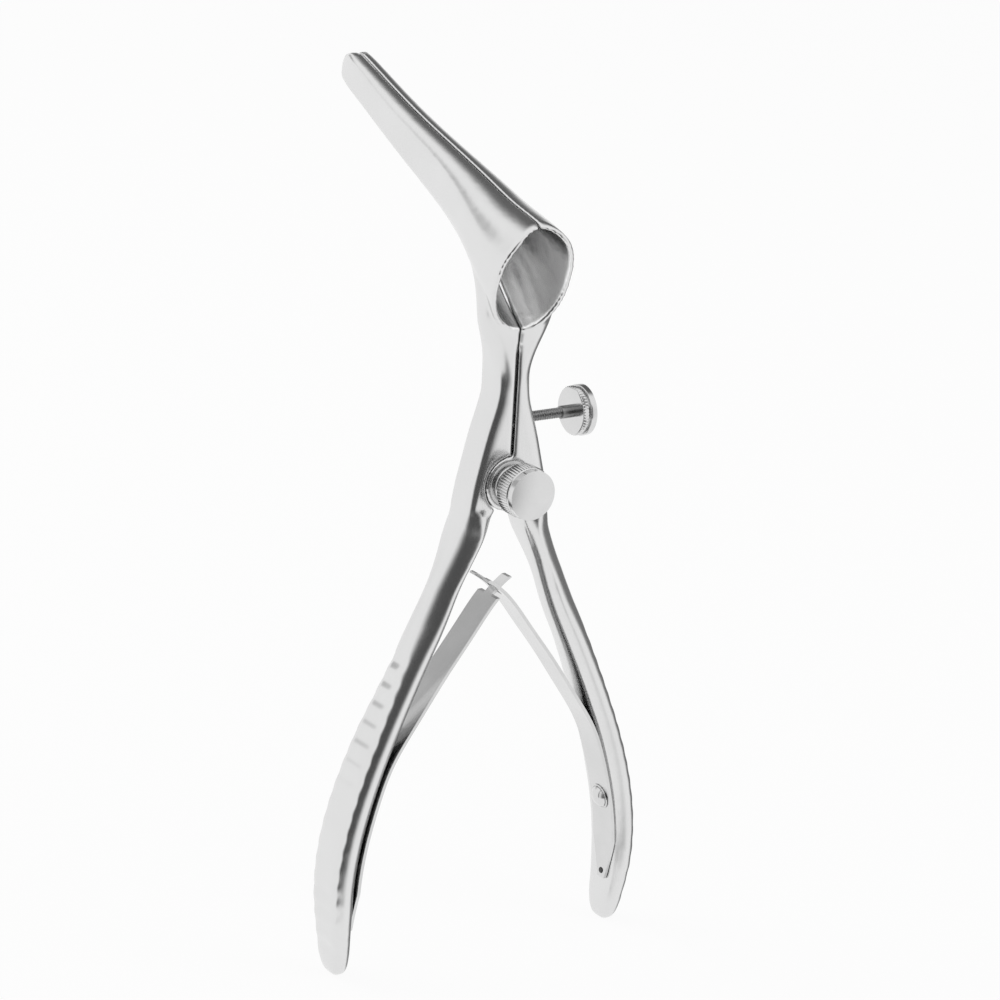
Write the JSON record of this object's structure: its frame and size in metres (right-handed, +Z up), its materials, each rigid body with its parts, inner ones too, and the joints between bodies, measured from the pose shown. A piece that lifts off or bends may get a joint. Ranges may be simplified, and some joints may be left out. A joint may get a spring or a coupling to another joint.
{
  "type": "nasal septum speculum",
  "caption": "Hand-held nasal speculum: half-funnel blades open about a pivot when the leaf-sprung handles are squeezed; a set screw limits closing.",
  "frame": {"origin": "where the pivot axis meets the flat back of the joint", "axes": "+Z up along the instrument from the handles to the cup; +Y backwards, out of the joint's back, the way the blades point; +X the way the right half's blade opens"},
  "size_m": [0.0586, 0.061, 0.1395],
  "materials": {
    "satin_steel": "satin",
    "polished_steel": "polished",
    "spring_steel": "polished"
  },
  "bodies": {
    "left_arm": {"left_half": "satin_steel", "pivot_screw": "polished_steel", "left_spring_screw": "polished_steel", "left_spring_pin": "polished_steel"},
    "right_arm": {"right_half": "satin_steel", "right_spring_screw": "polished_steel", "right_spring_pin": "polished_steel"},
    "opening_stop": {"set_screw": "polished_steel"},
    "left_spring": {"left_leaf_spring": "spring_steel"},
    "right_spring": {"right_leaf_spring": "spring_steel"}
  },
  "joints": [
    {"name": "blade_spread", "type": "hinge", "parent": "left_arm", "child": "right_arm", "pos_m": [0, 0, 0], "axis": [0, 1, 0], "range_deg": [0, 22], "stiffness_Nm_per_rad": 0.5, "springref_deg": -22.92},
    {"name": "set_screw_travel", "type": "slide", "parent": "right_arm", "child": "opening_stop", "axis": [-1, 0, 0], "range_m": [0, 0.0038]},
    {"name": "left_spring_flex", "type": "hinge", "parent": "left_arm", "child": "left_spring", "pos_m": [-0.0199, -0.00305, -0.045], "axis": [0, 1, 0], "range_deg": [-7.1, 0], "deforming": ["left_leaf_spring"]},
    {"name": "right_spring_flex", "type": "hinge", "parent": "right_arm", "child": "right_spring", "pos_m": [0.0199, -0.00305, -0.045], "axis": [0, 1, 0], "range_deg": [0, 7.1], "deforming": ["right_leaf_spring"]}
  ],
  "couplings": [
    {"joint": "set_screw_travel", "follows": "blade_spread", "m_per_rad": 0.0098},
    {"joint": "left_spring_flex", "follows": "blade_spread", "ratio": -0.32},
    {"joint": "right_spring_flex", "follows": "blade_spread", "ratio": 0.32}
  ]
}
